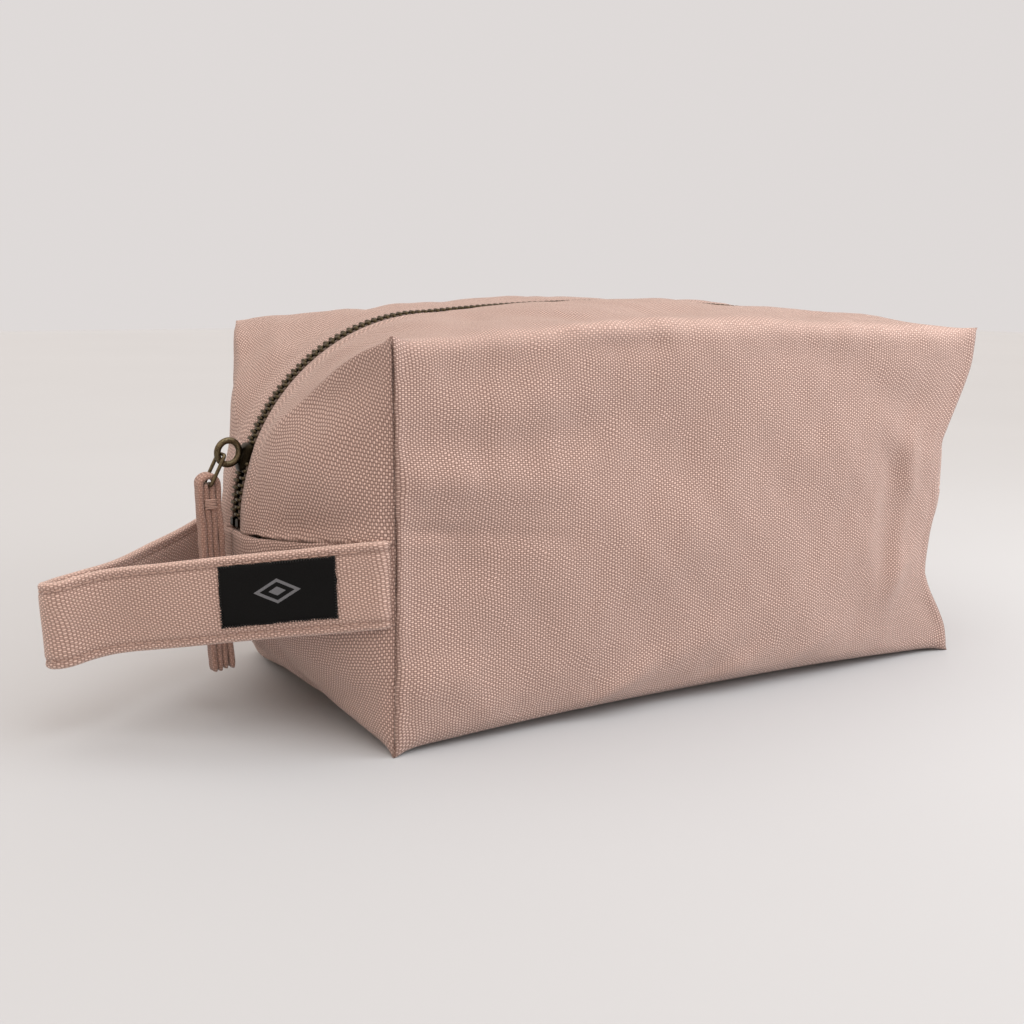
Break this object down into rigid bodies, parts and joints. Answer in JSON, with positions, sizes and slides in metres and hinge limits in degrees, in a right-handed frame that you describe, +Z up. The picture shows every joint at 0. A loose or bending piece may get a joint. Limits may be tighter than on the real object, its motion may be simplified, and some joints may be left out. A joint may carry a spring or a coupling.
{
  "type": "toiletry bag",
  "caption": "Boxy canvas toiletry pouch with a metal zip over the top, boxed ends, a canvas zip pull and a folded strap handle.",
  "frame": {"origin": "centre of the bag's footprint on the surface it stands on", "axes": "+X along the bag away from the handle end, +Y from front to back, +Z up"},
  "size_m": [0.3586, 0.1334, 0.1365],
  "materials": {
    "canvas": "heavy plain-weave cotton canvas, dusty pink",
    "zip_tape": "woven zip tape",
    "binding": "cotton binding tape",
    "thread": "sewing thread",
    "label": "black woven label",
    "antique_brass": "antique, darkened"
  },
  "bodies": {
    "bag": {"back_panel": "canvas", "bottom_binding": "binding", "corner_binding_left_back": "binding", "corner_binding_left_front": "binding", "corner_binding_right_back": "binding", "corner_binding_right_front": "binding", "end_binding_left": "binding", "end_binding_right": "binding", "front_panel": "canvas", "handle_end_back": "canvas", "handle_end_front": "canvas", "zip_bottom_stop": "antique_brass", "zip_tape_back": "zip_tape", "zip_tape_front": "zip_tape", "zip_teeth_back": "antique_brass", "zip_teeth_front": "antique_brass", "zip_top_stops": "antique_brass"},
    "slider": {"slider_body": "antique_brass", "slider_bail": "antique_brass"},
    "link": {"pull_link": "antique_brass"},
    "tab": {"pull_tab": "canvas", "tab_bar_tack": "thread"},
    "handle": {"handle_strap": "canvas", "handle_label": "label"}
  },
  "joints": [
    {"name": "slider_travel", "type": "hinge", "parent": "bag", "child": "slider", "pos_m": [-0.077, 0, 0.062], "axis": [0, 1, 0], "range_deg": [-6, 70], "deforming": ["zip_teeth_front", "zip_teeth_back"]},
    {"name": "link_swing", "type": "hinge", "parent": "slider", "child": "link", "pos_m": [-0.1507, 0, 0.0869], "axis": [0, 1, 0], "range_deg": [0, 20]},
    {"name": "tab_swing", "type": "hinge", "parent": "link", "child": "tab", "pos_m": [-0.1556, 0, 0.0773], "axis": [0, 1, 0], "range_deg": [-8, 20]},
    {"name": "handle_flex", "type": "hinge", "parent": "bag", "child": "handle", "pos_m": [-0.1306, 0, 0.0497], "axis": [0, 1, 0], "range_deg": [-10, 25], "stiffness_Nm_per_rad": 0.1, "springref_deg": 2.86}
  ]
}
